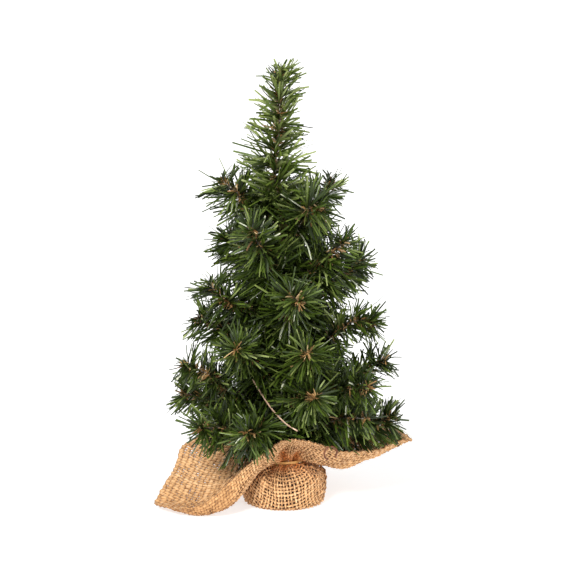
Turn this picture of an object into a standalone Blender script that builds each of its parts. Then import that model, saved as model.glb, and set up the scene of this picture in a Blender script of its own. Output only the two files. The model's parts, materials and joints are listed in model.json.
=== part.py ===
"""Artificial tabletop tree: wired brush branches on a taped trunk, in a pot bundled in gathered burlap.

Metres, +Z up, front towards -Y. The origin is the middle of the underside.
Lengths in the tables are millimetres and angles are degrees; MM turns a length into metres.
"""

import math

import bmesh
import bpy
from mathutils import Vector

MM = 0.001
MERGE = 0.00001

# Trunk: one stiff wire set in cement, with floral tape wound over it.
TRUNK_R, TRUNK_BOTTOM, TRUNK_TOP = 1.5, 5.0, 199.2
WRAP_INNER, WRAP_OUTER, WRAP_BOTTOM, WRAP_TOP = 1.8, 3.2, 31.5, 198.8

# Branch: a stub of twisted wire that swells into a slim brush. It bends where it leaves the tape.
HINGE_R = 4.3
STUB_R = 0.9
BRUSH_R = 7.0
BRUSH_OVERHANG = 6.0
BRUSH_SIDES = 12
BRANCH_SWELL = [(30, BRUSH_R), (17, 4.4), (9, 2.2), (5, STUB_R), (0, STUB_R)]
BRANCH_TAPER = [(0, 2.4), (-2, 5.0), (-9, BRUSH_R)]

# Branches as (azimuth from +X, height of the root, rise above level, wire length from the trunk).
BRANCHES = [
    (180, 190, 36, 48), (40, 189, 34, 40), (310, 182, 42, 43), (105, 186, 40, 43),
    (160, 160, 27, 45), (240, 152, 45, 54), (340, 147, 45, 49), (10, 137, 31, 56),
    (75, 156, 35, 48), (126, 140, 32, 53), (200, 122, 29, 57), (280, 125, 28, 54),
    (345, 106, 21, 63), (48, 120, 28, 55), (92, 112, 28, 55), (170, 100, 27, 60),
    (235, 82, 35, 63), (285, 90, 28, 58), (130, 86, 24, 60), (65, 80, 24, 59),
    (325, 76, 13, 66), (5, 66, 22, 66), (190, 62, 31, 73), (292, 66, 20, 58),
    (168, 53, 17, 66), (211, 50, 12, 61), (241, 47, 14, 54), (330, 46, 20, 60),
    (357, 42, 14, 70), (100, 48, 15, 61), (42, 46, 15, 63), (140, 44, 14, 63),
]

# Leader: the upright brush on top, bent where its wire leaves the trunk.
LEADER_ROOT = 200.0
LEADER_PROFILE = [
    (100, 0.6), (98, 2.6), (92, 5.2), (80, 6.5), (60, 7.0),
    (38, 7.0), (16, 5.6), (9, 2.6), (5, STUB_R), (0, STUB_R),
]

# Pot and cement, turned about +Z. Profiles are (height, radius).
POT_R, POT_FOOT_R, POT_WALL, POT_BOTTOM, POT_TOP = 25.6, 24.6, 1.2, 1.6, 18.0
GAP = 0.3
CEMENT_DOME = [(25.0, 5.0), (24.4, 10.0), (22.8, 16.0), (20.6, 20.5), (18.4, 22.9)]

# Burlap: middle of the cloth, as (height, radius) from its floor, up the wall and over the shoulder
# to the tied neck.
CLOTH = 1.2
WALL_PROFILE = [
    (0.6, 14.0), (0.6, 24.6), (1.3, 26.2), (3.0, 26.8), (10.0, 26.8), (17.0, 26.8),
    (20.4, 26.0), (23.2, 23.2), (25.3, 18.4), (26.4, 13.6), (27.5, 11.2), (29.0, 10.8),
]
NECK_Z, NECK_R = 32.4, 10.9
BAND_Z, BAND_R, BAND_HALF_W, BAND_HALF_H = 29.9, 12.9, 0.8, 0.9

# Flared collar as (turn round the neck, inner knee, outer knee, raw edge).
# The cloth's corners reach far out near 0, 62, 130 and 192 degrees, and its sides stand short between them.
COLLAR = [
    (270, (0, -16, 39), (1, -27, 47), (1, -37, 51.6)),
    (283, (4, -16, 39), (8, -27, 48), (14, -36, 52)),
    (299, (9, -14.5, 38), (17, -24, 44), (26, -32, 46.5)),
    (315, (14, -12, 34.5), (26, -16, 33), (39, -26, 42)),
    (330, (18, -9, 32), (35, -11, 27), (53, -17, 39)),
    (345, (21, -5, 30.5), (44, -6, 27), (68, -7, 40.5)),
    (0, (23, 1, 31), (54, 1, 29), (87, 7, 41.6)),
    (13, (21, 6, 34), (47, 12, 34), (75, 20, 47)),
    (27, (15, 11, 39), (34, 22, 44), (54, 30, 48.5)),
    (40, (12, 14, 38), (26, 29, 37), (36, 41, 34)),
    (52, (10, 16, 37), (26, 38, 30), (38, 60, 22)),
    (62, (9, 18, 37), (26, 46, 27), (42, 78, 12)),
    (74, (5, 18, 38), (13, 42, 33), (19, 64, 24)),
    (88, (1, 17, 39), (1, 32, 42), (3, 44, 44)),
    (103, (-4, 17, 39), (-10, 32, 42), (-14, 46, 42)),
    (117, (-8, 17, 38), (-22, 40, 32), (-34, 60, 24)),
    (130, (-12, 16, 36), (-34, 42, 22), (-57, 66, 6)),
    (142, (-15, 13, 38), (-36, 32, 30), (-54, 48, 20)),
    (154, (-16, 10, 40), (-33, 21, 40), (-50, 34, 38)),
    (167, (-18, 6, 38), (-42, 14, 33), (-68, 25, 33.5)),
    (180, (-20, 1, 34), (-49, -1, 19), (-76, 6, 19)),
    (192, (-21, -4, 32), (-52, -20, 8), (-88, -20, 4)),
    (204, (-21, -9, 31), (-49, -34, 3.6), (-73, -37, 5)),
    (218, (-19, -14, 30.5), (-44, -40, 4.2), (-57, -39, 7.8)),
    (233, (-15, -19, 30.5), (-33, -38, 11), (-42, -37, 18)),
    (248, (-9, -20, 32), (-20, -32, 27.5), (-25, -36, 34)),
    (259, (-4.5, -18, 36), (-10, -29, 38.5), (-12, -37, 45)),
]
COLLAR_TURNS, COLLAR_ROWS = 96, 8

# Trims: routes of the two thin wires.
WIRE_LOOP = [
    (27.6, -33.4, 38.2), (27.8, -33.4, 43.4), (30, -32.6, 45.8), (33.2, -31.4, 45.2), (33.6, -30.8, 38.4),
]
WIRE_LOOP_R = 0.5
BARE_WIRE = [(-22, -21, 92), (-16, -25, 82.5), (-8, -29, 71.5), (1, -32, 62.5), (9, -35, 58)]
BARE_WIRE_R = 0.35
WIRE_STEPS = 24

# Material name: base colour, roughness, metallic.
FINISHES = {
    "needles": ((0.07, 0.10, 0.02, 1), 0.45, 0.0),
    "tape": ((0.10, 0.06, 0.03, 1), 0.85, 0.0),
    "steel": ((0.20, 0.18, 0.16, 1), 0.45, 1.0),
    "burlap": ((0.82, 0.50, 0.24, 1), 0.95, 0.0),
    "pot": ((0.05, 0.028, 0.018, 1), 0.7, 0.0),
    "cement": ((0.45, 0.43, 0.40, 1), 0.95, 0.0),
    "rubber": ((0.55, 0.30, 0.10, 1), 0.55, 0.0),
    "copper": ((0.55, 0.25, 0.14, 1), 0.35, 1.0),
    "dark_wire": ((0.07, 0.03, 0.02, 1), 0.5, 0.6),
}


def clear_scene():
    for obj in list(bpy.data.objects):
        bpy.data.objects.remove(obj, do_unlink=True)


def new_collection():
    """The tree's collection, with an empty at its origin that holds every piece."""
    collection = bpy.data.collections.new("artificial_tabletop_tree")
    bpy.context.scene.collection.children.link(collection)
    origin = bpy.data.objects.new("tree_origin", None)
    collection.objects.link(origin)
    return collection


def finish(name):
    """The named material, made once."""
    if name in bpy.data.materials:
        return bpy.data.materials[name]
    colour, roughness, metallic = FINISHES[name]
    material = bpy.data.materials.new(name)
    material.use_nodes = True
    shader = material.node_tree.nodes["Principled BSDF"]
    shader.inputs["Base Color"].default_value = colour
    shader.inputs["Roughness"].default_value = roughness
    shader.inputs["Metallic"].default_value = metallic
    return material


def add_object(collection, name, data, finish_name, location=(0, 0, 0)):
    """Links a mesh or curve as a piece of the tree, placed in millimetres."""
    data.materials.append(finish(finish_name))
    obj = bpy.data.objects.new(name, data)
    obj.location = Vector(location) * MM
    obj.parent = collection.objects["tree_origin"]
    collection.objects.link(obj)
    return obj


def add_turned(collection, name, profile, finish_name, sides, closed=False,
               location=(0, 0, 0), axis=(0, 0, 1)):
    """A turned piece from (distance along its axis, radius) pairs that run down its outer side.

    An open profile is led to the axis at both ends; a closed one makes a ring.
    """
    if not closed:
        profile = [(profile[0][0], 0)] + profile + [(profile[-1][0], 0)]
    mesh = bpy.data.meshes.new(name)
    points = [(radius * MM, 0, along * MM) for along, radius in profile]
    edges = [(i, i + 1) for i in range(len(points) - 1)]
    if closed:
        edges.append((len(points) - 1, 0))
    mesh.from_pydata(points, edges, [])
    obj = add_object(collection, name, mesh, finish_name, location)
    obj.rotation_mode = "QUATERNION"
    obj.rotation_quaternion = Vector(axis).to_track_quat("Z", "Y")
    screw = obj.modifiers.new("turn", "SCREW")
    screw.steps = screw.render_steps = sides
    screw.use_merge_vertices = True
    screw.merge_threshold = MERGE
    return obj


def spline(before, start, end, after, t):
    """Catmull-Rom: passes through start and end, with slopes taken from their neighbours."""
    return 0.5 * (2 * start + (end - before) * t + (2 * before - 5 * start + 4 * end - after) * t**2
                  + (3 * start - before - 3 * end + after) * t**3)


def smooth_path(points, steps):
    """Evenly stepped points on a smooth path through the given ones."""
    points = [Vector(point) for point in points]
    padded = [2 * points[0] - points[1]] + points + [2 * points[-1] - points[-2]]
    found = []
    for step in range(steps):
        t = step * (len(points) - 1) / (steps - 1)
        i = min(int(t), len(points) - 2)
        found.append(spline(*padded[i:i + 4], t - i))
    return found


def add_wire(collection, name, route, radius, finish_name):
    curve = bpy.data.curves.new(name, "CURVE")
    curve.dimensions = "3D"
    curve.bevel_depth = radius * MM
    curve.bevel_resolution = 2
    curve.use_fill_caps = True
    path = smooth_path(route, WIRE_STEPS)
    line = curve.splines.new("POLY")
    line.points.add(len(path) - 1)
    for point, place in zip(line.points, path):
        point.co = (*(place * MM), 1)
    return add_object(collection, name, curve, finish_name)


def collar_columns():
    """Evenly spaced columns of the collar's cloth, each running from the neck to the raw edge."""
    controls = []
    for turn, *reach in COLLAR:
        angle = math.radians(turn)
        neck = Vector((NECK_R * math.cos(angle), NECK_R * math.sin(angle), NECK_Z))
        controls.append([neck] + [Vector(point) for point in reach])
    columns = []
    for step in range(COLLAR_TURNS):
        t = step * len(controls) / COLLAR_TURNS
        i = int(t)
        near = [controls[(i + k) % len(controls)] for k in (-1, 0, 1, 2)]
        column = [spline(*four, t - i) for four in zip(*near)]
        columns.append(smooth_path(column, COLLAR_ROWS))
    return columns


def add_burlap(collection):
    """The bag: a floor, a turned wall under the flared collar, then thickened into one shell."""
    sheet = bmesh.new()
    loops = []
    for column in collar_columns():
        angle = math.atan2(column[0].y, column[0].x)
        around = Vector((math.cos(angle), math.sin(angle), 0))
        wall = [around * radius + Vector((0, 0, height)) for height, radius in WALL_PROFILE]
        loops.append([sheet.verts.new(point * MM) for point in wall + column])
    sheet.faces.new([loop[0] for loop in reversed(loops)])
    for left, right in zip(loops, loops[1:] + loops[:1]):
        for i in range(len(left) - 1):
            sheet.faces.new((left[i], right[i], right[i + 1], left[i + 1]))
    mesh = bpy.data.meshes.new("burlap_wrap")
    sheet.to_mesh(mesh)
    sheet.free()
    mesh.shade_smooth()
    obj = add_object(collection, "burlap_wrap", mesh, "burlap")
    shell = obj.modifiers.new("cloth", "SOLIDIFY")
    shell.thickness = CLOTH * MM
    shell.offset = 0
    return obj


def add_pot(collection):
    inner_top, inner_foot, floor = POT_R - POT_WALL, POT_FOOT_R - POT_WALL, POT_BOTTOM + POT_WALL
    inside = [(floor, inner_foot), (POT_TOP, inner_top)]
    outside = [(POT_TOP, POT_R), (POT_BOTTOM + 1, POT_FOOT_R), (POT_BOTTOM, POT_FOOT_R - 1)]
    add_turned(collection, "base_pot", inside + outside, "pot", 64)


def add_cement(collection):
    """Cast round the trunk, with a blind socket for it and a rounded top under the cloth."""
    bottom, socket_r, socket_bottom = POT_BOTTOM + POT_WALL + GAP, TRUNK_R + GAP, TRUNK_BOTTOM - GAP
    slack = POT_WALL + GAP + 0.2
    outside = CEMENT_DOME + [(POT_TOP, POT_R - slack), (bottom, POT_FOOT_R - slack)]
    socket = [(socket_bottom, socket_r), (CEMENT_DOME[0][0], socket_r)]
    add_turned(collection, "cement_fill", socket + outside, "cement", 48)


def add_trunk(collection):
    add_turned(collection, "trunk_wire", [(TRUNK_TOP, TRUNK_R), (TRUNK_BOTTOM, TRUNK_R)], "steel", 16)
    low, high = WRAP_BOTTOM, WRAP_TOP
    wrap = [(high, WRAP_OUTER), (low, WRAP_OUTER), (low, WRAP_INNER), (high, WRAP_INNER)]
    add_turned(collection, "trunk_wrap", wrap, "tape", 24, closed=True)


def add_band(collection):
    low, high = BAND_Z - BAND_HALF_H, BAND_Z + BAND_HALF_H
    inner, outer = BAND_R - BAND_HALF_W, BAND_R + BAND_HALF_W
    section = [(high, outer), (low, outer), (low, inner), (high, inner)]
    add_turned(collection, "rubber_band", section, "rubber", 48, closed=True)


def add_branch(collection, index, azimuth, height, rise, length):
    turn, lift = math.radians(azimuth), math.radians(rise)
    root = (HINGE_R * math.cos(turn), HINGE_R * math.sin(turn), height)
    axis = (math.cos(turn) * math.cos(lift), math.sin(turn) * math.cos(lift), math.sin(lift))
    tip = length + BRUSH_OVERHANG
    profile = [(tip + back, radius) for back, radius in BRANCH_TAPER] + BRANCH_SWELL
    add_turned(collection, f"branch_{index:02d}", profile, "needles", BRUSH_SIDES, location=root, axis=axis)


def main():
    clear_scene()
    tree = new_collection()
    add_burlap(tree)
    add_pot(tree)
    add_cement(tree)
    add_band(tree)
    add_trunk(tree)
    add_turned(tree, "leader", LEADER_PROFILE, "needles", BRUSH_SIDES, location=(0, 0, LEADER_ROOT))
    for index, branch in enumerate(BRANCHES, 1):
        add_branch(tree, index, *branch)
    add_wire(tree, "binding_wire", BARE_WIRE, BARE_WIRE_R, "copper")
    add_wire(tree, "wire_loop", WIRE_LOOP, WIRE_LOOP_R, "dark_wire")


main()
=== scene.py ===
"""Looks of the artificial tabletop tree: twisted-wire needle brushes, a taped trunk and a woven burlap wrap.

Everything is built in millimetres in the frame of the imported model, and turned into metres when a mesh is
made.
"""

import json
import math

import bpy
import numpy as np
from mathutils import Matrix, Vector
from mathutils.bvhtree import BVHTree


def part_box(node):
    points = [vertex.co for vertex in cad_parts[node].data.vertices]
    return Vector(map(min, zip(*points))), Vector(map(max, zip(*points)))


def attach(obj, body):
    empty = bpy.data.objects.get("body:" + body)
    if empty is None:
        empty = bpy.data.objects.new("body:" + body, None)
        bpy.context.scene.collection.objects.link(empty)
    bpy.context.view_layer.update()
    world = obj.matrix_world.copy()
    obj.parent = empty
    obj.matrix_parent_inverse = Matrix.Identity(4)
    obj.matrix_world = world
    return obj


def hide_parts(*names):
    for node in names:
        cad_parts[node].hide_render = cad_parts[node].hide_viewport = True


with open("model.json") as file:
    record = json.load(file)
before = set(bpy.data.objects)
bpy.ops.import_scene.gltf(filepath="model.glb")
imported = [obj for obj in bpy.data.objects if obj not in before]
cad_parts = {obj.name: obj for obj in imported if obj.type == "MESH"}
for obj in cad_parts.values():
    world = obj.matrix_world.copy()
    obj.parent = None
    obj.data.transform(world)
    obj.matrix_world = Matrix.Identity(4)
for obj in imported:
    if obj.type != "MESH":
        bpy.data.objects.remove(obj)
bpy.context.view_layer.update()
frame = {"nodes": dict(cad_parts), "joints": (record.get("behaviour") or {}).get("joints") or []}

MM = 0.001

# ---------------------------------------------------------------- camera
CAMERA_RISE = 12.0
CAMERA_DISTANCE = 2200.0
CAMERA_TARGET = (2.7, 0.0, 147.5)
FRAME_WIDTH = 384.8
SENSOR_WIDTH = 36.0
CAMERA_CLIP_END = 20

# ---------------------------------------------------------------- light
FLOOR_SIZE = 6000.0
FLOOR_GLOW = 0.66
WORLD_STRENGTH = 0.5
# Name, place in millimetres, strength and angular size in degrees.
SUNS = [("key", (-450, -1050, 950), 3.0, 20.0), ("fill", (900, -800, 450), 1.15, 60.0)]

# ---------------------------------------------------------------- brushes
BRUSH_SEED, TRUNK_SEED = 100, 7
NEEDLE_LENGTH, NEEDLE_WIDTH, NEEDLE_THICK = 17.5, 1.25, 0.16
NEEDLE_RINGS = np.array([0.0, 0.3, 0.65, 1.0])
NEEDLE_TAPER = np.array([0.75, 1.0, 1.0, 0.82])
NEEDLES_PER_MM, LEADER_PER_MM = 9.4, 6.9
NEEDLE_CURL, FRINGE_CURL, DROOP = 2.0, 0.8, 0.8
# Turns of the film about the wire: one full turn per FILM_TWIST mm, spread by FILM_SPREAD radians.
FILM_TWIST, FILM_SPREAD = 19.0, 0.45
STRAY_SHARE = 0.25
RUFFLE, RUFFLE_WAVES = 3.4, 0.17
# Slow disorder of a brush: amplitudes in degrees for the lean and in radians for the yaw.
LEAN_WAVES, LEAN_NOISE, LEAN_LIMITS = (13, 8), 9, (12, 105)
YAW_WAVES, YAW_NOISE = (0.30, 0.22), 0.12
ROOT_OFFSET = 0.3
# Needles crowd together every GATHER_PITCH mm.
GATHER, GATHER_PITCH = 2.0, 11.0
LENGTH_NOISE, LONGER_AT_ROOT, SHORTER_AT_TIP = 0.12, 0.45, 0.2
# Film tones run to TOP_TONE, and a few needles are painted near white at the glint tone, a painted highlight.
TOP_TONE, PAINTED_GLINT_TONE, PAINTED_GLINT_SHARE = 0.985, 1.0, 0.008
SHORTEST_SHARE = 0.1
TIP_TUFT = 18
FRINGE_LENGTH, FRINGE_WIDTH = 4.8, 0.95
FRINGE_PER_MM = 3.0
CLUMP_PITCH, CLUMP_SPREAD, CLUMP_SHARE = 7.5, 1.6, 0.7
LONG_FRINGE_SHARE, LONG_FRINGE, TIP_FRINGE = 0.06, 1.7, 0.7
BRUSH_OVERHANG = 6.0
TIP_REACH = 5.5
CLOTH_CLEARANCE = 1.3
BRANCH_SWAY, SWAY_STEPS = 2.4, 60
LEADER_SWAY = [(0, 0, 0), (-5, 0, 0), (-6.3, 1, 0), (-4.2, 1, 0), (-2.8, 0, 0), (-3.2, 0, 0), (-1.5, 0, 0)]
BARE_STUB = 5.0
WIRE_R, WIRE_PITCH = 0.42, 5.0
WIRE_STEPS_PER_PITCH, WIRE_SIDES, STRAND_OFFSET, WIRE_BEFORE_HINGE = 7, 5, 0.95, 2.0

# ---------------------------------------------------------------- trunk
TRUNK_BARE, TRUNK_SPLIT, TRUNK_OVERSHOOT = 14.0, 0.6, 3
TRUNK_UPPER_PER_MM, TRUNK_LOWER_PER_MM, TRUNK_LOWER_SIZE = 5.0, 4.2, 1.3
TAPE_PITCH, TAPE_LAP, TAPE_STEP, TAPE_SIDES = 6.5, 0.5, 0.8, 24

# ---------------------------------------------------------------- burlap
CLOTH_SEED = 31
CLOTH_SIDE = 225.0
YARN_PITCH = 2.5
YARN_HALF_WIDTH, YARN_HALF_THICK, YARN_RISE = 0.74, 0.42, 0.44
YARN_SIDES = 6
YARN_WANDER, YARN_SIZE_NOISE, YARN_SLUBS = 0.16, 0.09, 0.13
YARN_TONE, YARN_TONE_NOISE = 0.58, 0.11
# The ply attribute runs from 0 to 1 over PLY_SPAN mm of yarn, and the plies turn once in PLY_PITCH mm.
PLY_SPAN, PLY_PITCH = 200, 1.6
FRAY, FRAY_JITTER = 0.9, (-0.35, 0.15)
LOWEST_CLOTH, LOWEST_YARN, LOWEST_HAIR = 0.75, 0.05, 0.15
# The flat cloth's corner that starts the count of directions, in degrees.
SEAM_ANGLE = 225
EDGE_SAMPLES = 90
COARSE_ROWS = 91
FUZZ_COUNT, FRAYED_COUNT = 2600, 500
HAIR_RADIUS, HAIR_RINGS, HAIR_SIDES = 0.09, 4, 3
WALL_PROFILE = [
    (0.7, 0.0), (0.7, 24.6), (1.3, 26.2), (3.0, 26.9), (10.0, 26.9), (17.0, 26.9), (20.4, 26.0), (23.2, 23.2),
    (25.3, 18.4), (26.4, 13.6), (27.5, 11.2), (29.0, 10.8), (32.4, 10.9),
]
# Collar as (turn round the neck, inner knee, outer knee, raw edge); the cloth's corners are at CORNERS.
CORNERS = (0, 62, 130, 192)
COLLAR = [
    (270, (0, -16, 39), (1, -27, 47), (1, -37, 51.6)),
    (283, (4, -16, 39), (8, -27, 48), (14, -36, 52)),
    (299, (9, -14.5, 38), (17, -24, 44), (26, -32, 46.5)),
    (315, (14, -12, 34.5), (26, -16, 33), (39, -26, 42)),
    (330, (18, -9, 32), (35, -11, 27), (53, -17, 39)),
    (345, (21, -5, 30.5), (44, -6, 27), (68, -7, 40.5)),
    (0, (23, 1, 31), (54, 1, 29), (87, 7, 41.6)),
    (13, (21, 6, 34), (47, 12, 34), (75, 20, 47)),
    (27, (15, 11, 39), (34, 22, 44), (54, 30, 48.5)),
    (40, (12, 14, 38), (26, 29, 37), (36, 41, 34)),
    (52, (10, 16, 37), (26, 38, 30), (38, 60, 22)),
    (62, (9, 18, 37), (26, 46, 27), (42, 78, 12)),
    (74, (5, 18, 38), (13, 42, 33), (19, 64, 24)),
    (88, (1, 17, 39), (1, 32, 42), (3, 44, 44)),
    (103, (-4, 17, 39), (-10, 32, 42), (-14, 46, 42)),
    (117, (-8, 17, 38), (-22, 40, 32), (-34, 60, 24)),
    (130, (-12, 16, 36), (-34, 42, 22), (-57, 66, 6)),
    (142, (-15, 13, 38), (-36, 32, 30), (-54, 48, 20)),
    (154, (-16, 10, 40), (-33, 21, 40), (-50, 34, 38)),
    (167, (-18, 6, 38), (-42, 14, 33), (-68, 25, 33.5)),
    (180, (-20, 1, 34), (-49, -1, 19), (-76, 6, 19)),
    (192, (-21, -4, 32), (-52, -20, 8), (-88, -20, 4)),
    (204, (-21, -9, 31), (-49, -34, 3.6), (-73, -37, 5)),
    (218, (-19, -14, 30.5), (-44, -40, 4.2), (-57, -39, 7.8)),
    (233, (-15, -19, 30.5), (-33, -38, 11), (-42, -37, 18)),
    (248, (-9, -20, 32), (-20, -32, 27.5), (-25, -36, 34)),
    (259, (-4.5, -18, 36), (-10, -29, 38.5), (-12, -37, 45)),
]
PLEATS = 26
# How evenly each side of the cloth is spread along its side of the collar, from front to left, as
# (even share, power).
SIDE_SPREAD = [(1.0, 1.0), (0.4, 2.7), (1.0, 1.0), (0.42, 2.4)]

# ---------------------------------------------------------------- trims
WIRE_LOOP = [
    (29.2, -32.6, 37.6), (27.4, -33.5, 39.4), (26.9, -33.7, 42.6), (28.4, -33.4, 45.6), (31.4, -32.4, 46.6),
    (34.2, -31.4, 45.4), (35.3, -30.9, 42.4), (34.2, -30.6, 38.6)]
WIRE_LOOP_R = 0.66
BARE_WIRE = [(-22, -21, 92), (-16, -25, 82.5), (-8, -29, 71.5), (1, -32, 62.5), (9, -35, 58)]
BARE_WIRE_R = 0.55
TRIM_STEPS, TRIM_SIDES = 40, 10
# The ribbon behind which needles end, so that the bare wire stays in view.
RIBBON_STEPS, RIBBON_REACH = 20, [0, -40, 8]
BAND_TURNS, BAND_STEPS, BAND_R, BAND_SIDES, BAND_INSET = 3, 240, 0.62, 8, 0.7


# ================================================================ small tools
def unit(v):
    return v / np.maximum(np.linalg.norm(v, axis=-1, keepdims=True), 1e-9)


def smoothstep(x):
    x = np.clip(x, 0, 1)
    return x * x * (3 - 2 * x)


def spline(before, start, end, after, t):
    """Catmull-Rom: passes through start and end, with slopes taken from their neighbours."""
    return 0.5 * (2 * start + (end - before) * t + (2 * before - 5 * start + 4 * end - after) * t**2
                  + (3 * start - before - 3 * end + after) * t**3)


def smooth_path(points, steps):
    points = np.asarray(points, float)
    padded = np.vstack([2 * points[0] - points[1], points, 2 * points[-1] - points[-2]])
    t = np.linspace(0, len(points) - 1, steps)
    i = np.minimum(t.astype(int), len(points) - 2)
    return spline(padded[i], padded[i + 1], padded[i + 2], padded[i + 3], (t - i)[:, None])


def across(direction):
    """Two unit vectors square to each direction and to each other."""
    direction = unit(np.asarray(direction, float))
    helper = np.where(np.abs(direction[..., 2:3]) < 0.9, [0.0, 0.0, 1.0], [1.0, 0.0, 0.0])
    side = unit(np.cross(helper, direction))
    return side, np.cross(direction, side)


def make_object(name, points, faces, materials, smooth=True, attributes=None, slots=None):
    """A mesh object from millimetre points; attributes maps a name to one RGB-like triple per point."""
    mesh = bpy.data.meshes.new(name)
    mesh.from_pydata((np.asarray(points) * MM).tolist(), [], faces)
    for material in materials:
        mesh.materials.append(material)
    for key, values in (attributes or {}).items():
        layer = mesh.attributes.new(key, "FLOAT_COLOR", "POINT")
        rgba = np.ones((len(points), 4), np.float32)
        rgba[:, :3] = values
        layer.data.foreach_set("color", rgba.ravel())
    if slots is not None:
        mesh.polygons.foreach_set("material_index", np.asarray(slots, np.int32))
    if smooth:
        mesh.shade_smooth()
    mesh.update()
    obj = bpy.data.objects.new(name, mesh)
    bpy.context.scene.collection.objects.link(obj)
    return obj


def tube_faces(count, rings, sides):
    """Quads and end caps of count tubes, each with the same rings and sides, points in that order."""
    ring, side = np.meshgrid(np.arange(rings - 1), np.arange(sides), indexing="ij")
    low, high = ring * sides, (ring + 1) * sides
    following = (side + 1) % sides
    quads = np.stack([low + side, low + following, high + following, high + side], axis=-1).reshape(-1, 4)
    starts = np.arange(count)[:, None, None] * rings * sides
    walls = (quads[None] + starts).reshape(-1, 4).tolist()
    first = (np.arange(sides)[::-1][None] + starts[:, 0]).tolist()
    last = (np.arange(sides)[None] + (rings - 1) * sides + starts[:, 0]).tolist()
    return walls + first + last


def sweep(path, radius, sides):
    """Points of one round tube along a path, with its faces."""
    path = np.asarray(path, float)
    tangent = unit(np.gradient(path, axis=0))
    side, _ = across(tangent[:1])
    sides_along = []
    current = side[0]
    for t in tangent:
        current = unit(current - t * current.dot(t))
        sides_along.append(current)
    side = np.array(sides_along)
    up = np.cross(tangent, side)
    turn = np.arange(sides) * 2 * np.pi / sides
    radius = np.broadcast_to(radius, len(path))[:, None, None]
    outward = np.cos(turn)[None, :, None] * side[:, None] + np.sin(turn)[None, :, None] * up[:, None]
    rings = path[:, None] + radius * outward
    return rings.reshape(-1, 3), tube_faces(1, len(path), sides)


# ================================================================ materials
def new_material(name, roughness, metallic=0.0):
    material = bpy.data.materials.new(name)
    material.use_nodes = True
    shader = material.node_tree.nodes["Principled BSDF"]
    shader.inputs["Roughness"].default_value = roughness
    shader.inputs["Metallic"].default_value = metallic
    return material, material.node_tree, shader


def node(tree, kind, **values):
    made = tree.nodes.new(kind)
    for key, value in values.items():
        if hasattr(made, key):
            setattr(made, key, value)
        else:
            made.inputs[key].default_value = value
    return made


def ramp(tree, source, stops):
    made = tree.nodes.new("ShaderNodeValToRGB")
    elements = made.color_ramp.elements
    elements[0].position, elements[0].color = stops[0][0], (*stops[0][1], 1)
    elements[1].position, elements[1].color = stops[-1][0], (*stops[-1][1], 1)
    for position, colour in stops[1:-1]:
        elements.new(position).color = (*colour, 1)
    tree.links.new(source, made.inputs["Fac"])
    return made.outputs["Color"]


def noise(tree, scale, detail=2.0):
    where = tree.nodes.new("ShaderNodeTexCoord")
    made = node(tree, "ShaderNodeTexNoise", Scale=scale, Detail=detail)
    tree.links.new(where.outputs["Object"], made.inputs["Vector"])
    return made.outputs["Fac"]


def math_node(tree, operation, a, b=None):
    made = node(tree, "ShaderNodeMath", operation=operation)
    for socket, value in zip(made.inputs, (a, b)):
        if value is None:
            continue
        if isinstance(value, (int, float)):
            socket.default_value = value
        else:
            tree.links.new(value, socket)
    return made.outputs[0]


def bump(tree, shader, height, strength, distance):
    made = node(tree, "ShaderNodeBump", Strength=strength, Distance=distance)
    tree.links.new(height, made.inputs["Height"])
    tree.links.new(made.outputs["Normal"], shader.inputs["Normal"])


def attribute(tree, name):
    made = node(tree, "ShaderNodeAttribute", attribute_name=name)
    split = tree.nodes.new("ShaderNodeSeparateColor")
    tree.links.new(made.outputs["Color"], split.inputs["Color"])
    return split.outputs


def multiply(tree, colour, other):
    made = node(tree, "ShaderNodeMix", data_type="RGBA", blend_type="MULTIPLY")
    made.inputs["Factor"].default_value = 1.0
    tree.links.new(colour, made.inputs[6])
    tree.links.new(other, made.inputs[7])
    return made.outputs[2]


def needle_material():
    """Cut PVC film: several greens, glossy, with painted shade towards the root and a little yellow at the
    cut tip.
    """
    material, tree, shader = new_material("pvc_needle", 0.34)
    tone, fleck, along = attribute(tree, "tint")[:3]
    # Tones from 0.985 to 1 give the few glinting needles a painted white highlight.
    colour = ramp(tree, tone, [
        (0.0, (0.010, 0.018, 0.003)), (0.3, (0.030, 0.053, 0.006)), (0.6, (0.073, 0.118, 0.013)),
        (0.85, (0.165, 0.215, 0.055)), (0.985, (0.325, 0.395, 0.165)), (1.0, (0.62, 0.66, 0.55))])
    # Painted shade: each needle darkens towards its root, where the brush shades it.
    shade = ramp(tree, along, [(0.0, (0.34, 0.30, 0.22)), (0.3, (0.62, 0.60, 0.52)), (0.6, (1.0, 1.0, 0.95)),
                               (1.0, (1.15, 1.10, 0.98))])
    streak = ramp(tree, noise(tree, 900.0, 1.0), [(0.3, (0.82, 0.85, 0.8)), (0.7, (1.1, 1.08, 1.05))])
    tree.links.new(multiply(tree, multiply(tree, colour, shade), streak), shader.inputs["Base Color"])
    shader.inputs["Specular IOR Level"].default_value = 0.38
    rough = math_node(tree, "MULTIPLY_ADD", fleck, 0.25)
    rough.node.inputs[2].default_value = 0.26
    tree.links.new(rough, shader.inputs["Roughness"])
    bump(tree, shader, noise(tree, 1600.0, 1.0), 0.15, 0.0002)
    return material


def fringe_material():
    """Short brown and tan PVC cuttings that stand for bark and buds."""
    material, tree, shader = new_material("pvc_fringe", 0.5)
    tone = attribute(tree, "tint")[0]
    colour = ramp(tree, tone, [
        (0.0, (0.10, 0.045, 0.012)), (0.4, (0.24, 0.120, 0.038)), (0.75, (0.44, 0.26, 0.095)),
        (1.0, (0.72, 0.54, 0.28))])
    tree.links.new(colour, shader.inputs["Base Color"])
    bump(tree, shader, noise(tree, 1500.0), 0.2, 0.0002)
    return material


def wire_material(name, dark, light, roughness, metallic):
    material, tree, shader = new_material(name, roughness, metallic)
    tree.links.new(ramp(tree, noise(tree, 350.0), [(0.3, dark), (0.7, light)]), shader.inputs["Base Color"])
    bump(tree, shader, noise(tree, 1800.0), 0.1, 0.0001)
    return material


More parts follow.
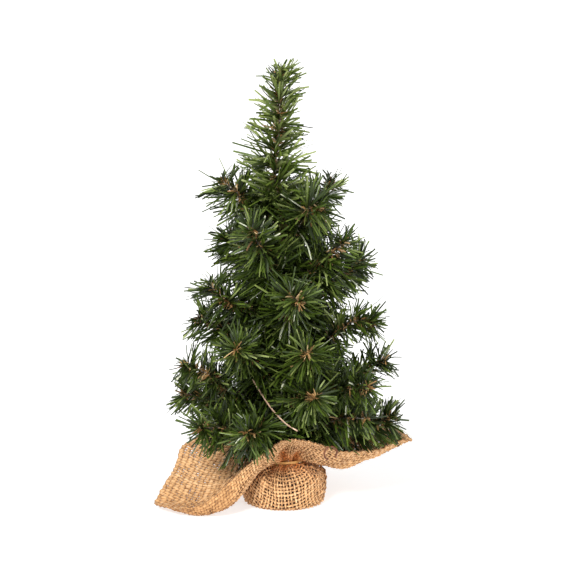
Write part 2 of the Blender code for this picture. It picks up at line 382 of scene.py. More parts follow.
def plain_material(name, dark, light, roughness, scale, bumpiness):
    """A moulded, cast or wound surface: two tones of noise with a matching bump."""
    material, tree, shader = new_material(name, roughness)
    colour = ramp(tree, noise(tree, scale, 6.0), [(0.35, dark), (0.65, light)])
    tree.links.new(colour, shader.inputs["Base Color"])
    bump(tree, shader, noise(tree, scale * 2, 8.0), bumpiness, 0.0005)
    return material


def yarn_material(name):
    """Jute: each yarn its own tan, slubs along it, the ply twist as fine ridges, painted shade on its flanks
    and painted light on its nubs.
    """
    material, tree, shader = new_material(name, 0.88)
    # The tint holds the yarn tone less painted shade on the lobes, the slubs with painted nub light, and
    # painted neck shade.
    tone, slub, painted_neck_shade = attribute(tree, "tint")[:3]
    cosine, sine, along = attribute(tree, "ply")[:3]
    colour = ramp(tree, tone, [
        (0.0, (0.52, 0.28, 0.115)), (0.3, (0.66, 0.38, 0.17)), (0.7, (0.78, 0.48, 0.24)),
        (1.0, (0.92, 0.66, 0.40))])
    # Slubs together with painted light and shade on the nubs: the top stop is lighter than the yarn's own
    # tan.
    slub_and_nub_light = ramp(tree, slub, [
        (0.0, (0.46, 0.35, 0.24)), (0.5, (0.88, 0.85, 0.80)), (1.0, (1.24, 1.28, 1.32))])
    fibres = ramp(tree, noise(tree, 2200.0, 3.0), [(0.3, (0.78, 0.74, 0.68)), (0.7, (1.08, 1.06, 1.04))])
    # Painted shade and warm painted bounce light in the gathers round the neck.
    painted_neck_shade_colour = ramp(tree, painted_neck_shade, [
        (0.0, (1, 1, 1)), (0.5, (1.2, 0.86, 0.54)), (1.0, (0.98, 0.58, 0.28))])
    # Painted shade: each yarn darkens towards its flanks.
    doubled = math_node(tree, "MULTIPLY", math_node(tree, "SUBTRACT", cosine, 0.5), 2.0)
    off_middle = math_node(tree, "ABSOLUTE", doubled)
    flank_painted_shade = ramp(tree, off_middle, [(0.4, (1, 1, 1)), (1.0, (0.52, 0.35, 0.20))])
    colour = multiply(tree, multiply(tree, colour, painted_neck_shade_colour), flank_painted_shade)
    tree.links.new(multiply(tree, multiply(tree, colour, slub_and_nub_light), fibres), shader.inputs["Base Color"])
    angle = math_node(tree, "MULTIPLY", along, 2 * math.pi * PLY_SPAN / PLY_PITCH)
    sine_part = math_node(tree, "SINE", angle)
    twist_a = math_node(tree, "MULTIPLY", sine_part, math_node(tree, "SUBTRACT", cosine, 0.5))
    cosine_part = math_node(tree, "COSINE", angle)
    twist_b = math_node(tree, "MULTIPLY", cosine_part, math_node(tree, "SUBTRACT", sine, 0.5))
    ridges = math_node(tree, "ADD", math_node(tree, "ADD", twist_a, twist_b), noise(tree, 2500.0, 2.0))
    bump(tree, shader, ridges, 0.6, 0.00025)
    shader.inputs["Sheen Weight"].default_value = 0.15
    shader.inputs["Sheen Roughness"].default_value = 0.5
    return material


# ================================================================ needles
def strips(root, direction, width_way, length, width, bend):
    """Flat closed strips: points in needle, ring, corner order."""
    normal = unit(np.cross(direction, width_way))
    width_way = np.cross(normal, direction)
    along = NEEDLE_RINGS[None, :, None] * length[:, None, None]
    middle = root[:, None] + direction[:, None] * along
    middle = middle + bend[:, None] * (NEEDLE_RINGS**2)[None, :, None]
    half = width[:, None] * NEEDLE_TAPER[None] / 2
    half_thick = np.full_like(half, NEEDLE_THICK / 2)
    corners = [width_way[:, None] * half[..., None], normal[:, None] * half_thick[..., None]]
    return np.stack(
        [middle + corners[0], middle + corners[1], middle - corners[0], middle - corners[1]], axis=2)


def tint_of(tones, flecks):
    """One colour triple per strip corner: tone, fleck and place along the strip."""
    count = len(tones)
    tint = np.zeros((count, len(NEEDLE_RINGS), 4, 3), np.float32)
    tint[..., 0] = tones[:, None, None]
    tint[..., 1] = flecks[:, None, None]
    tint[..., 2] = NEEDLE_RINGS[None, :, None]
    return tint.reshape(-1, 3)


def wound(rng, places):
    """Turns round a twisted wire: film leaves it on two opposite sides that wind along it, with strays."""
    count = len(places)
    turns = 2 * np.pi * places / FILM_TWIST + rng.uniform(0, 2 * np.pi)
    turns = turns + np.pi * rng.integers(0, 2, count) + rng.normal(0, FILM_SPREAD, count)
    return np.where(rng.uniform(0, 1, count) < STRAY_SHARE, rng.uniform(0, 2 * np.pi, count), turns)


class Stem:
    """The wire that a brush is twisted on: a straight run moved sideways by a smooth sway."""

    def __init__(self, start, axis, length, sway=((0, 0, 0), (0, 0, 0))):
        self.start, self.length = np.asarray(start, float), length
        self.axis = unit(np.asarray(axis, float))
        self.side, self.up = (way[0] for way in across(self.axis[None]))
        self.sway = smooth_path(sway, SWAY_STEPS)

    def at(self, t):
        t = np.asarray(t, float)
        place = np.clip(t / self.length, 0, 1) * (len(self.sway) - 1)
        knots = np.arange(len(self.sway))
        sway = np.stack([np.interp(place, knots, self.sway[:, k]) for k in range(3)], axis=-1)
        return self.start + self.axis * t[..., None] + sway

    def heading(self, t):
        return unit(self.at(np.asarray(t) + 0.5) - self.at(np.asarray(t) - 0.5))

    def out(self, turn):
        return np.cos(turn)[..., None] * self.side + np.sin(turn)[..., None] * self.up


def brush_strips(rng, stem, places, turns, lean, length, width, curl):
    """Strips that leave the stem at the given places and turns, lean degrees away from its axis."""
    count = len(places)
    heading = stem.heading(places)
    out = stem.out(turns)
    out = unit(out - heading * np.sum(out * heading, axis=1, keepdims=True))
    swirl = rng.uniform(0, 2 * np.pi, 4)
    lean = (lean + LEAN_WAVES[0] * np.sin(2 * turns + 0.25 * places + swirl[0])
            + LEAN_WAVES[1] * np.sin(3 * turns - 0.7 * places + swirl[1]))
    lean = np.radians(np.clip(lean, *LEAN_LIMITS))[:, None]
    yaw = (YAW_WAVES[0] * np.sin(2 * turns - 0.7 * places + swirl[2])
           + YAW_WAVES[1] * np.sin(turns + 1.7 * places + swirl[3]))
    yaw = (yaw + rng.normal(0, YAW_NOISE, count))[:, None]
    around = np.cross(heading, out)
    direction = unit(np.cos(lean) * heading + np.sin(lean) * (np.cos(yaw) * out + np.sin(yaw) * around))
    roll = rng.uniform(-np.pi / 2, np.pi / 2, count)[:, None]
    facing = np.cross(direction, around)
    width_way = np.cos(roll) * around + np.sin(roll) * facing
    bend = (rng.normal(0, curl, count)[:, None] * facing + rng.normal(0, curl, count)[:, None] * around)
    bend[:, 2] -= np.abs(rng.normal(0, DROOP, count))
    root = stem.at(places) + out * ROOT_OFFSET
    bend = bend + ruffle(rng, root + direction * length[:, None]) * (length / NEEDLE_LENGTH)[:, None]
    free = free_share(root, root + direction * length[:, None] + bend)
    return strips(root, direction, width_way, length * free, width, bend * free[:, None] ** 2)


def ruffle(rng, tips):
    """Small pushes that change smoothly from place to place, so neighbouring needles curve alike."""
    waves = tips @ rng.normal(0, RUFFLE_WAVES, (3, 3)) + rng.uniform(0, 2 * np.pi, 3)
    return RUFFLE * np.sin(waves)


def free_share(roots, tips):
    """How much of each strip, from its root, is clear of the burlap and of the front of the bare wire."""
    share = np.ones(len(roots))
    for i, (root, tip) in enumerate(zip(roots, tips)):
        reach = np.linalg.norm(tip - root)
        if min(root[2], tip[2]) > max(COLLAR_TOP, BARE_WIRE[0][2]):
            continue
        for tree, clearance in ((CLOTH_TREE, CLOTH_CLEARANCE), (WIRE_TREE, BARE_WIRE_R)):
            distance = tree.ray_cast(Vector(root), Vector(tip - root), reach + clearance)[3]
            if distance is not None:
                share[i] = min(share[i], max((distance - clearance) / reach, SHORTEST_SHARE))
    return share


def brush(rng, stem, first, last, density, name, body, replaced, materials, lean=(70, 56), size=1.0,
          tuft=TIP_TUFT, tones=(1.2, 1.9), wide=1.0):
    """The needles and the brown fringe of one stem, as two pieces.

    lean is in degrees, at the root and at the tip of the stem; tones shape the spread of the film's colours.
    """
    span = last - first
    count = int(span * density)
    even = (np.arange(count) + rng.uniform(-1.5, 1.5, count)) / count
    places = first + span * even * (0.75 + 0.25 * even)
    gather = GATHER * np.sin(places * 2 * np.pi / GATHER_PITCH + rng.uniform(0, 6))
    places = np.clip(places + gather * rng.uniform(0, 1, count), first, last)
    share = (places - first) / span
    leans = lean[0] + (lean[1] - lean[0]) * smoothstep((share - 0.3) / 0.7)
    leans = leans + rng.normal(0, LEAN_NOISE, count)
    lengths = NEEDLE_LENGTH * size * rng.normal(1, LENGTH_NOISE, count)
    lengths = lengths * (1 + LONGER_AT_ROOT - LONGER_AT_ROOT * smoothstep(share / 0.75))
    lengths = lengths * (1 - SHORTER_AT_TIP * smoothstep((share - 0.75) / 0.25))
    places = np.append(places, last - rng.uniform(0, 2.5, tuft))
    leans = np.append(leans, rng.uniform(30, 85, tuft))
    lengths = np.append(lengths, NEEDLE_LENGTH * size * rng.uniform(0.5, 0.9, tuft))
    forward = np.cos(np.radians(leans)) * lengths
    room = last + TIP_REACH * rng.uniform(0.7, 1.3, len(places)) - places
    lengths = lengths * np.minimum(1, room / np.maximum(forward, 1))
    turns = wound(rng, places)
    width = NEEDLE_WIDTH * wide * rng.uniform(0.7, 1.15, len(places))
    points = brush_strips(rng, stem, places, turns, leans, lengths, width, NEEDLE_CURL)
    tones = TOP_TONE * rng.beta(*tones, len(places))
    # A few needles get the painted white highlight.
    tones[rng.uniform(0, 1, len(places)) < PAINTED_GLINT_SHARE] = PAINTED_GLINT_TONE
    tint = tint_of(tones, rng.uniform(0, 1, len(places)))
    faces = tube_faces(len(places), len(NEEDLE_RINGS), 4)
    needles = make_object(name + "_needles", points.reshape(-1, 3), faces, [materials["needle"]],
                          smooth=False, attributes={"tint": tint})
    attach(needles, body)
    if replaced:
        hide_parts(replaced)
    fringe(rng, stem, first, last, name, body, materials, tuft // 2)


def fringe(rng, stem, first, last, name, body, materials, at_tip):
    """Short brown cuttings in clumps along the wire, and a cluster at its tip."""
    span = last - first
    count = int(span * FRINGE_PER_MM)
    places = rng.uniform(first, last, count)
    clumps = np.arange(first, last, CLUMP_PITCH) + rng.uniform(0, 6)
    near = rng.integers(0, len(clumps), count)
    pulled = rng.uniform(0, 1, count) < CLUMP_SHARE
    places = np.where(pulled, clumps[near] + rng.normal(0, CLUMP_SPREAD, count), places)
    places = np.clip(np.append(places, last + rng.uniform(-2.5, 0.5, at_tip)), first, last + 0.4)
    lean = np.append(rng.uniform(40, 90, count), rng.uniform(5, 75, at_tip))
    turns = rng.uniform(0, 2 * np.pi, len(places))
    length = FRINGE_LENGTH * rng.uniform(0.55, 1.3, len(places))
    length[rng.uniform(0, 1, len(places)) < LONG_FRINGE_SHARE] *= LONG_FRINGE
    length[count:] *= TIP_FRINGE
    width = FRINGE_WIDTH * rng.uniform(0.7, 1.4, len(places))
    points = brush_strips(rng, stem, places, turns, lean, length, width, FRINGE_CURL)
    tint = tint_of(rng.beta(2.0, 1.4, len(places)), rng.uniform(0, 1, len(places)))
    faces = tube_faces(len(places), len(NEEDLE_RINGS), 4)
    bits = make_object(name + "_fringe", points.reshape(-1, 3), faces, [materials["fringe"]],
                       smooth=False, attributes={"tint": tint})
    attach(bits, body)


def twisted_wire(name, stem, start, end, body, material):
    """Two strands wound round each other along a stem."""
    steps = int((end - start) / WIRE_PITCH * WIRE_STEPS_PER_PITCH)
    t = np.linspace(start, end, steps)
    phase = 2 * np.pi * t / WIRE_PITCH
    points, faces = [], []
    for strand in (0, np.pi):
        path = stem.at(t) + WIRE_R * STRAND_OFFSET * stem.out(phase + strand)
        ring_points, ring_faces = sweep(path, WIRE_R, WIRE_SIDES)
        shift = sum(len(p) for p in points)
        points.append(ring_points)
        faces += [tuple(shift + i for i in face) for face in ring_faces]
    wire = make_object(name + "_wire", np.vstack(points), faces, [material])
    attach(wire, body)


def tip_of(node_name, hinge):
    """The far end of a branch's CAD spindle, measured from its hinge, in millimetres."""
    mesh = frame["nodes"][node_name].data
    points = np.empty(len(mesh.vertices) * 3)
    mesh.vertices.foreach_get("co", points)
    points = points.reshape(-1, 3) / MM
    reach = np.linalg.norm(points - hinge, axis=1)
    return points[reach > reach.max() - 1.0].mean(axis=0)


def build_brushes(materials):
    for index, joint in enumerate(frame["joints"]):
        body = joint["child"]
        hinge = np.array(joint["pos_m"]) / MM
        tip = tip_of(body, hinge)
        axis = unit(tip - hinge)
        total = np.linalg.norm(tip - hinge)
        rng = np.random.default_rng(BRUSH_SEED + index)
        wire_end = total - BRUSH_OVERHANG
        upright = body == "leader"
        sway = np.vstack([np.zeros(3), np.zeros(3), rng.normal(0, BRANCH_SWAY, (3, 3))])
        stem = Stem(hinge, axis, wire_end, LEADER_SWAY if upright else sway)
        if upright:
            brush(rng, stem, BARE_STUB, wire_end, LEADER_PER_MM, body, body, body, materials,
                  lean=(72, 50), size=0.98, tones=(1.5, 0.65), wide=1.2)
        else:
            brush(rng, stem, BARE_STUB, wire_end, NEEDLES_PER_MM, body, body, body, materials,
                  lean=(72, 62), tones=(0.98, 1.58))
        twisted_wire(body, stem, -WIRE_BEFORE_HINGE, wire_end, body, materials["steel"])


def build_trunk(materials):
    """Needles and fringe wound into the trunk between the branches, and the tape as one wound skin."""
    low, high = (corner[2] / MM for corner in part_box("trunk_wrap"))
    rng = np.random.default_rng(TRUNK_SEED)
    stem = Stem((0, 0, low), (0, 0, 1), high - low)
    split = (high - low) * TRUNK_SPLIT
    brush(rng, stem, split, high - low + TRUNK_OVERSHOOT, TRUNK_UPPER_PER_MM, "trunk_upper", "base", None,
          materials, tuft=0)
    brush(rng, stem, TRUNK_BARE, split, TRUNK_LOWER_PER_MM, "trunk_lower", "base", None,
          materials, size=TRUNK_LOWER_SIZE, tuft=0)
    radius = np.linalg.norm(np.array(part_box("trunk_wrap")[1][:2]) / MM) / math.sqrt(2)
    turn = np.linspace(0, 2 * np.pi, TAPE_SIDES + 1)[:-1]
    heights = np.arange(low, high + 0.1, TAPE_STEP)
    lap = ((heights[:, None] - turn[None] / (2 * np.pi) * TAPE_PITCH) / TAPE_PITCH) % 1.0
    skin = radius - TAPE_LAP + TAPE_LAP * lap
    levels = np.broadcast_to(heights[:, None], skin.shape)
    rings = np.stack([skin * np.cos(turn), skin * np.sin(turn), levels], axis=-1)
    faces = tube_faces(1, len(heights), len(turn))
    tape = make_object("trunk_tape", rings.reshape(-1, 3), faces, [materials["tape"]])
    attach(tape, "base")
    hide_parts("trunk_wrap")


# ================================================================ burlap
def collar_controls():
    neck_z, neck_r = WALL_PROFILE[-1]
    turns = np.radians([row[0] for row in COLLAR])
    neck = np.column_stack([neck_r * np.cos(turns), neck_r * np.sin(turns), np.full(len(turns), neck_z)])
    reach = np.array([row[1:] for row in COLLAR], float)
    return np.concatenate([neck[:, None], reach], axis=1)


CONTROLS = collar_controls()
COLLAR_TURNS = [row[0] for row in COLLAR]
CORNER_COLUMNS = np.array([COLLAR_TURNS.index(corner) for corner in CORNERS])


def collar_at(column, share):
    """Points of the collar at a place round it, in columns of COLLAR, and a share of the way to its raw edge.

    Between the columns the collar is smooth, except at the cloth's corners, where it comes to a point.
    """
    count = len(CONTROLS)
    i = np.floor(column).astype(int)
    across_t = (column - i)[..., None, None]
    before, start, end, after = (CONTROLS[(i + k) % count] for k in (-1, 0, 1, 2))
    rows = spline(before, start, end, after, across_t)
    away = np.abs((column[..., None] - CORNER_COLUMNS + count / 2) % count - count / 2).min(axis=-1)
    pointed = np.clip(1 - away, 0, 1)[..., None, None]
    rows = rows + pointed * (start + (end - start) * across_t - rows)
    first, last = rows[..., 0, :], rows[..., 3, :]
    before_first = (2 * first - rows[..., 1, :])[..., None, :]
    after_last = (2 * last - rows[..., 2, :])[..., None, :]
    padded = np.concatenate([before_first, rows, after_last], axis=-2)
    t = np.clip(share, 0, 1.2) * 3
    j = np.minimum(t.astype(int), 2)
    picked = [
        np.take_along_axis(padded, (j + k)[..., None, None].repeat(3, -1), axis=-2)[..., 0, :]
        for k in range(4)]
    return spline(*picked, (t - j)[..., None])


def cloth_to_collar():
    """Where each direction of the flat cloth comes out round the collar, and where it meets the edge."""
    count = len(CONTROLS)
    first, *others = np.roll(CORNER_COLUMNS, 1)
    starts = [first, *[column + count for column in others], first + count]
    angles, columns, edge_places = [], [], []
    for side, (even, power) in enumerate(SIDE_SPREAD):
        column = np.linspace(starts[side], starts[side + 1], EDGE_SAMPLES)
        edge = collar_at(column, np.ones(EDGE_SAMPLES))
        along = np.append(0, np.cumsum(np.linalg.norm(np.diff(edge, axis=0), axis=1)))
        share = np.linspace(0, 1, EDGE_SAMPLES)
        if side == 1:
            spread = 1 - even * (1 - share) - (1 - even) * (1 - share) ** power
        else:
            spread = even * share + (1 - even) * share**power
        columns.append(np.interp(spread * along[-1], along, column))
        angles.append(270 + 90 * side + np.degrees(np.arctan(2 * share - 1)))
        edge_places.append(side + share)
    return np.concatenate(angles), np.concatenate(columns), np.concatenate(edge_places)


CLOTH_ANGLES, CLOTH_COLUMNS, EDGE_PLACES = cloth_to_collar()
TURN_COLUMNS = np.arange(2 * len(COLLAR) + 1)
TURNS = np.unwrap(np.radians([COLLAR[i % len(COLLAR)][0] for i in TURN_COLUMNS]))


def wall_at(along):
    """(radius, height) of the wrap at a distance over the cloth from its middle."""
    profile = np.array(WALL_PROFILE)
    lengths = np.append(0, np.cumsum(np.linalg.norm(np.diff(profile, axis=0), axis=1)))
    return np.interp(along, lengths, profile[:, 1]), np.interp(along, lengths, profile[:, 0]), lengths[-1]


NECK_ALONG = wall_at(0.0)[2]


def base_cloth(u, v):
    """The draped cloth without its fine folds, at flat cloth places (u, v), with what the folds need."""
    reach = np.hypot(u, v)
    angle = np.degrees(np.arctan2(v, u)) % 360
    angle = np.where(angle < SEAM_ANGLE, angle + 360, angle)
    column = np.interp(angle, CLOTH_ANGLES, CLOTH_COLUMNS)
    turn = np.interp(column, TURN_COLUMNS, TURNS)
    radius, height, _ = wall_at(reach)
    blend = smoothstep((reach - 25) / 33)
    flat_angle = np.radians(angle)
    offset = (turn - flat_angle + np.pi) % (2 * np.pi) - np.pi
    azimuth = flat_angle + blend * offset
    wall = np.stack([radius * np.cos(azimuth), radius * np.sin(azimuth), height], axis=-1)
    edge_reach = CLOTH_SIDE / 2 / np.maximum(np.abs(np.cos(flat_angle)), np.abs(np.sin(flat_angle)))
    share = (reach - NECK_ALONG) / (edge_reach - NECK_ALONG)
    flare = collar_at(column, np.maximum(share, 0))
    point = np.where((share > 0)[..., None], flare, wall)
    return point, reach, angle, share


def cloth_normal(function, u, v, step=0.6):
    along_u = function(u + step, v) - function(u - step, v)
    along_v = function(u, v + step) - function(u, v - step)
    return unit(np.cross(along_u, along_v)), along_u / (2 * step), along_v / (2 * step)


def crowding(u, v, reach):
    """How much of its flat width the cloth keeps, round the neck: 1 is flat, and less is gathered."""
    step = 0.01
    turned = [
        base_cloth(u * np.cos(a) - v * np.sin(a), u * np.sin(a) + v * np.cos(a))[0] for a in (-step, step)]
    return np.linalg.norm(turned[1] - turned[0], axis=-1) / (2 * step * np.maximum(reach, 1))


def cloth_at(u, v):
    """The draped cloth with its gathers: each pleat is as deep as the width it has to take up."""
    point, reach, angle, share = base_cloth(u, v)
    normal, _, _ = cloth_normal(lambda a, b: base_cloth(a, b)[0], u, v)
    kept = np.clip(crowding(u, v, reach), 0.1, 1)
    phase = 2 * np.pi * PLEATS * np.interp(angle, CLOTH_ANGLES, EDGE_PLACES) / 4
    seen = smoothstep((angle - 228) / 25) * smoothstep((335 - angle) / 20)
    left = 1 - smoothstep((angle - 228) / 25) + smoothstep((angle - 545) / 20)
    calm = 1 - (0.5 + 0.27 * np.clip(seen + left, 0, 1)) * smoothstep((share - 0.12) / 0.6)
    depth = 2 * reach / PLEATS * np.sqrt(kept * np.maximum(0.92 - kept, 0))
    tied = 1 - 0.72 * np.exp(-((reach - NECK_ALONG) / 5.5) ** 2)
    on_wall = smoothstep((reach - 26) / 10)
    height = depth * on_wall * tied * calm
    folds = height * np.sin(phase + 0.8 * np.sin(phase / 5))
    folds = np.where(share < 0, np.minimum(folds, 0.4 * height) - 0.3 * height, folds)
    ripple = 0.6 * np.clip(share, 0, 1) * np.sin(u * 0.19 + 1) * np.sin(v * 0.16)
    point = point + normal * (folds + ripple)[..., None]
    point[..., 2] = np.maximum(point[..., 2], LOWEST_CLOTH)
    return point


def yarns(rng, fixed, running, swap):
    """One set of parallel yarns, woven over and under: fixed places across them, running places along."""
    threads, steps = len(fixed), len(running)
    wander = rng.normal(0, YARN_WANDER, (threads, steps))
    wander = (wander + np.roll(wander, 1, 1) + np.roll(wander, -1, 1)) / 2
    a = fixed[:, None] + wander
    b = np.array(np.broadcast_to(running[None], (threads, steps)))
    b[:, 0] -= rng.uniform(*FRAY_JITTER, threads)
    b[:, -1] += rng.uniform(*FRAY_JITTER, threads)
    u, v = (b, a) if swap else (a, b)
    centre = cloth_at(u, v)
    normal, along_u, along_v = cloth_normal(cloth_at, u, v, 0.5)
    tangent, crossing = (along_u, along_v) if swap else (along_v, along_u)
    tangent = unit(tangent)
    side = unit(np.cross(normal, tangent))
    crowd = np.clip(np.linalg.norm(crossing, axis=-1), 0.5, 2.3)
    bulk = 1 + 0.48 * smoothstep((np.abs(centre[..., 0]) - 27) / 13)
    crossings = np.arange(threads)[:, None] + np.arange(steps)[None] + (1 if swap else 0)
    parity = 1 - 2 * (crossings % 2)
    centre = centre + normal * (parity * YARN_RISE)[..., None]
    slub = rng.normal(0, YARN_SLUBS, (threads, steps))
    slub = slub + np.roll(slub, 1, 1)
    thread_size = rng.normal(1, YARN_SIZE_NOISE, (threads, 1))
    size = np.clip(thread_size * (1 + slub), 0.6, 1.6) * bulk
    turn = np.arange(YARN_SIDES) * 2 * np.pi / YARN_SIDES
    half_width = (YARN_HALF_WIDTH * size * crowd)[..., None, None]
    half_thick = (YARN_HALF_THICK * np.sqrt(size))[..., None, None]
    rings = centre[:, :, None] + half_width * np.cos(turn)[:, None] * side[:, :, None]
    rings = rings + half_thick * np.sin(turn)[:, None] * normal[:, :, None]
    rings[..., 2] = np.maximum(rings[..., 2], LOWEST_YARN)
    shape = (threads, steps, YARN_SIDES)
    sideways = centre[..., 0]
    # Painted shade: yarns are darkened on the lobes' low roll near the floor and on their outer faces, the
    # left lobe most.
    low_roll_painted_shade = 0.42 * np.exp(-(centre[..., 2] / 9) ** 2) * smoothstep((np.abs(sideways) - 27) / 10)
    outer_shade = 0.5 * smoothstep((-sideways - 24) / 12) + 0.12 * smoothstep((sideways - 27) / 13)
    shade = low_roll_painted_shade[..., None] + outer_shade[..., None] * np.clip(-np.sin(turn), 0, 1)
    tone = np.clip(rng.normal(YARN_TONE, YARN_TONE_NOISE, (threads, 1, 1)) - shade, 0, 1)
    # Painted light and shade: each yarn is lighter on the face that stands out at a crossing and darker on
    # the face tucked in.
    nub_painted_light = parity[..., None] * np.sin(turn)
    slub_and_nub_light_tone = np.clip(0.5 + 1.2 * slub[..., None] + 0.5 * nub_painted_light, 0, 1)
    # Painted shade and warm painted bounce light in the gathers round the neck.
    painted_neck_shade = 0.9 * np.exp(-((np.hypot(u, v) - NECK_ALONG - 1) / 11) ** 2)
    tint = np.stack([tone, slub_and_nub_light_tone, np.broadcast_to(painted_neck_shade[..., None], shape)], axis=-1)
    ply = np.stack([
        np.broadcast_to(0.5 + 0.5 * np.cos(turn), shape), np.broadcast_to(0.5 + 0.5 * np.sin(turn), shape),
        np.broadcast_to((running[None, :, None] % PLY_SPAN) / PLY_SPAN, shape)], axis=-1)
    faces = tube_faces(threads, steps, YARN_SIDES)
    return rings.reshape(-1, 3), faces, tint.reshape(-1, 3), ply.reshape(-1, 3)


def hairs(rng, count, on_edge):
    """Loose jute fibres: short bent hairs standing off the yarns, or trailing from the cut ends."""
    half = CLOTH_SIDE / 2
    if on_edge:
        place = rng.uniform(-half + FRAY, half - FRAY, count)
        place = np.round(place / YARN_PITCH) * YARN_PITCH
        side = rng.integers(0, 4, count)
        out = half - rng.uniform(-0.5, 3.0, count)
        u = np.select([side == 0, side == 1, side == 2], [place, place, out], -out)
        v = np.select([side == 0, side == 1, side == 2], [out, -out, place], place)
    else:
        u, v = rng.uniform(-half + FRAY, half - FRAY, (2, count))
    root = cloth_at(u, v)
    normal, along_u, along_v = cloth_normal(cloth_at, u, v, 0.5)
    turn = rng.uniform(0, 2 * np.pi, count)[:, None]
    flat = unit(np.cos(turn) * unit(along_u) + np.sin(turn) * unit(along_v))
    if on_edge:
        outward = unit(u[:, None] * along_u + v[:, None] * along_v)
        flat = unit(outward + 0.45 * flat)
    face = np.where(rng.uniform(0, 1, (count, 1)) < 0.5, 1, -1)
    length = rng.uniform(*((1.2, 3.2) if on_edge else (2.0, 5.0)), count)[:, None]
    t = np.linspace(0, 1, HAIR_RINGS)[None, :, None]
    lift = (0.2 if on_edge else 0.42) * rng.uniform(0.3, 1, (count, 1, 1))
    path = root[:, None] + flat[:, None] * length[:, None] * t
    path = path + face[:, None] * normal[:, None] * length[:, None] * lift * np.sin(t * 2.2)
    path = path + rng.normal(0, 0.3, (count, 1, 3)) * t**2
    path[..., 2] = np.maximum(path[..., 2], LOWEST_HAIR)
    side, up = across(np.gradient(path, axis=1))
    turns = np.arange(HAIR_SIDES) * 2 * np.pi / HAIR_SIDES
    radius = (HAIR_RADIUS * (1 - 0.6 * t))[:, :, None]
    outwards = np.cos(turns)[:, None] * side[:, :, None] + np.sin(turns)[:, None] * up[:, :, None]
    rings = path[:, :, None] + radius * outwards
    tint = np.zeros((*rings.shape[:3], 3))
    tint[..., :2] = rng.uniform(0.35, 1, (count, 1, 1, 1))
    return rings.reshape(-1, 3), tube_faces(count, HAIR_RINGS, HAIR_SIDES), tint.reshape(-1, 3)


def cloth_tree():
    """The draped cloth as a coarse surface, to keep needles out of it, and the height that clears it."""
    rows = np.linspace(-CLOTH_SIDE / 2, CLOTH_SIDE / 2, COARSE_ROWS)
    u, v = np.meshgrid(rows, rows, indexing="ij")
    points = cloth_at(u, v)
    index = np.arange(COARSE_ROWS * COARSE_ROWS).reshape(COARSE_ROWS, COARSE_ROWS)
    quads = np.stack([index[:-1, :-1], index[1:, :-1], index[1:, 1:], index[:-1, 1:]], axis=-1)
    tree = BVHTree.FromPolygons(points.reshape(-1, 3).tolist(), quads.reshape(-1, 4).tolist())
    return tree, points[..., 2].max() + CLOTH_CLEARANCE


CLOTH_TREE, COLLAR_TOP = cloth_tree()


def wire_tree():
    """A ribbon that stands forward from the bare wire: needles end at it, so the wire lies on top of them."""
    back = smooth_path(BARE_WIRE, RIBBON_STEPS)
    front = back + RIBBON_REACH
    quads = [(i, i + 1, i + 1 + RIBBON_STEPS, i + RIBBON_STEPS) for i in range(RIBBON_STEPS - 1)]
    return BVHTree.FromPolygons(np.vstack([back, front]).tolist(), quads)


WIRE_TREE = wire_tree()


def build_burlap(materials):
    """The woven cloth, and the loose fibres on it and along its raw edge."""
    count = int((CLOTH_SIDE - 2 * FRAY) / YARN_PITCH) + 1
    fixed = (np.arange(count) - (count - 1) / 2) * YARN_PITCH
    running = np.concatenate([[fixed[0] - FRAY], fixed, [fixed[-1] + FRAY]])
    rng = np.random.default_rng(CLOTH_SEED)
    warp = yarns(rng, fixed, running, False)
    weft = yarns(rng, fixed, running, True)
    shift = len(warp[0])
    faces = warp[1] + [[shift + i for i in face] for face in weft[1]]
    cloth = make_object(
        "burlap_cloth", np.vstack([warp[0], weft[0]]), faces, [materials["yarn"]],
        attributes={"tint": np.vstack([warp[2], weft[2]]), "ply": np.vstack([warp[3], weft[3]])})
    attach(cloth, "base")
    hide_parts("burlap_wrap")
    for name, number, on_edge in (("burlap_fuzz", FUZZ_COUNT, False), ("burlap_fray", FRAYED_COUNT, True)):
        points, hair_faces, tint = hairs(rng, number, on_edge)
        piece = make_object(
            name, points, hair_faces, [materials["yarn"]],
            attributes={"tint": tint, "ply": np.full_like(tint, 0.5)})
        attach(piece, "base")


# ================================================================ trims
def build_band(materials):
    """A rubber band wound three times round the gathers."""
    low, high = (np.array(corner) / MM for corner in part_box("rubber_band"))
    radius, middle = (high[0] - low[0]) / 2 - BAND_INSET, (high[2] + low[2]) / 2
    turn = np.linspace(0, 2 * BAND_TURNS * np.pi, BAND_STEPS)
    wobble = 0.25 * np.sin(turn * 5 + 1) + 0.15 * np.sin(turn * 11)
    rise = 0.55 * np.sin(turn / 3) + 0.12 * np.sin(turn * 2.3)
    reach = radius + wobble
    path = np.column_stack([reach * np.cos(turn), reach * np.sin(turn), middle + rise])
    points, faces = sweep(path, BAND_R, BAND_SIDES)
    band = make_object("band_wraps", points, faces, [materials["rubber"]])
    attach(band, "base")
    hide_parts("rubber_band")


def build_wires(materials):
    """The bare wire tail at the front and the dark loop on the collar."""
    for name, route, radius, replaced, key, slot in (
            ("bare_wire_tail", BARE_WIRE, BARE_WIRE_R, "binding_wire", "copper", "copper"),
            ("collar_wire_loop", WIRE_LOOP, WIRE_LOOP_R, "wire_loop", "dark_wire", "dark_wire")):
        points, faces = sweep(smooth_path(route, TRIM_STEPS), radius, TRIM_SIDES)
        wire = make_object(name, points, faces, [materials[key]])
        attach(wire, "base")
        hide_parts(replaced)


def finish_cad_nodes(materials):
    """The CAD pieces that keep their shape take their final material."""
    for name, key in (("base_pot", "pot"), ("cement_fill", "cement"), ("trunk_wire", "steel")):
        mesh = frame["nodes"][name].data
        for slot in range(max(1, len(mesh.materials))):
            if len(mesh.materials):
                mesh.materials[slot] = materials[key]
            else:
                mesh.materials.append(materials[key])


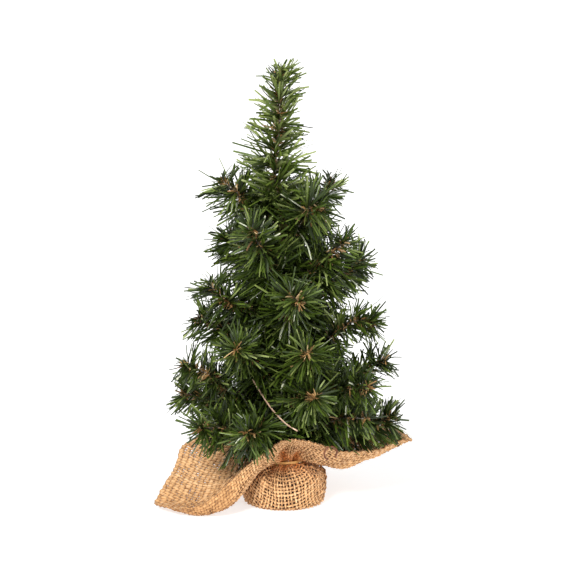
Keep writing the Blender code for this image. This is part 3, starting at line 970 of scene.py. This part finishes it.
# ================================================================ stage
def build_stage():
    """Camera, floor, world light and two suns."""
    scene = bpy.context.scene
    scene.view_settings.view_transform = "Standard"
    rise = math.radians(CAMERA_RISE)
    camera_data = bpy.data.cameras.new("camera")
    camera_data.sensor_width = SENSOR_WIDTH
    camera_data.lens = SENSOR_WIDTH * CAMERA_DISTANCE / FRAME_WIDTH
    camera_data.clip_end = CAMERA_CLIP_END
    camera = bpy.data.objects.new("camera", camera_data)
    target = np.array(CAMERA_TARGET)
    place = target + CAMERA_DISTANCE * np.array([0, -math.cos(rise), math.sin(rise)])
    camera.location = place * MM
    camera.rotation_euler = (math.pi / 2 - rise, 0, 0)
    scene.collection.objects.link(camera)
    scene.camera = camera

    material, tree, shader = new_material("pale_floor", 0.9)
    greys = ramp(tree, noise(tree, 3.0), [(0.3, (0.58, 0.58, 0.58)), (0.7, (0.62, 0.62, 0.62))])
    tree.links.new(greys, shader.inputs["Base Color"])
    shader.inputs["Emission Color"].default_value = (1, 1, 1, 1)
    shader.inputs["Emission Strength"].default_value = FLOOR_GLOW
    size = FLOOR_SIZE
    corners = [(-size, -size, 0), (size, -size, 0), (size, size, 0), (-size, size, 0)]
    floor = make_object("floor", corners, [(0, 1, 2, 3)], [material], smooth=False)

    world = bpy.data.worlds.new("studio")
    world.use_nodes = True
    background = world.node_tree.nodes["Background"]
    background.inputs["Color"].default_value = (1, 1, 1, 1)
    background.inputs["Strength"].default_value = WORLD_STRENGTH
    scene.world = world
    for name, place, strength, spread in SUNS:
        light_data = bpy.data.lights.new(name, "SUN")
        light_data.energy = strength
        light_data.angle = math.radians(spread)
        light = bpy.data.objects.new(name, light_data)
        light.location = np.array(place) * MM
        light.rotation_euler = direction_to_euler(-np.array(place))
        scene.collection.objects.link(light)


def direction_to_euler(direction):
    flat = math.hypot(direction[0], direction[1])
    return (math.atan2(flat, -direction[2]), 0, math.atan2(direction[1], direction[0]) - math.pi / 2)


def main():
    build_stage()
    materials = {
        "needle": needle_material(),
        "fringe": fringe_material(),
        "steel": wire_material("dull_steel", (0.16, 0.14, 0.12), (0.30, 0.27, 0.24), 0.42, 1.0),
        "copper": wire_material("bare_copper", (0.66, 0.40, 0.25), (0.90, 0.66, 0.48), 0.35, 0.2),
        "dark_wire": wire_material("lacquered_wire", (0.09, 0.028, 0.012), (0.24, 0.085, 0.035), 0.3, 0.2),
        "tape": plain_material("floral_tape", (0.05, 0.028, 0.012), (0.12, 0.07, 0.03), 0.85, 300.0, 0.3),
        # The pot's near-black colour is partly painted shade, for the shade seen through the burlap's holes.
        "pot": plain_material("dark_pot", (0.035, 0.012, 0.004), (0.06, 0.022, 0.008), 0.8, 120.0, 0.15),
        "cement": plain_material("cast_cement", (0.075, 0.045, 0.028), (0.15, 0.10, 0.065), 0.95, 150.0, 0.5),
        "rubber": plain_material("rubber_band", (0.62, 0.31, 0.08), (0.78, 0.45, 0.15), 0.45, 200.0, 0.1),
        "yarn": yarn_material("jute_yarn"),
    }
    build_brushes(materials)
    build_trunk(materials)
    build_band(materials)
    build_burlap(materials)
    build_wires(materials)
    finish_cad_nodes(materials)


main()
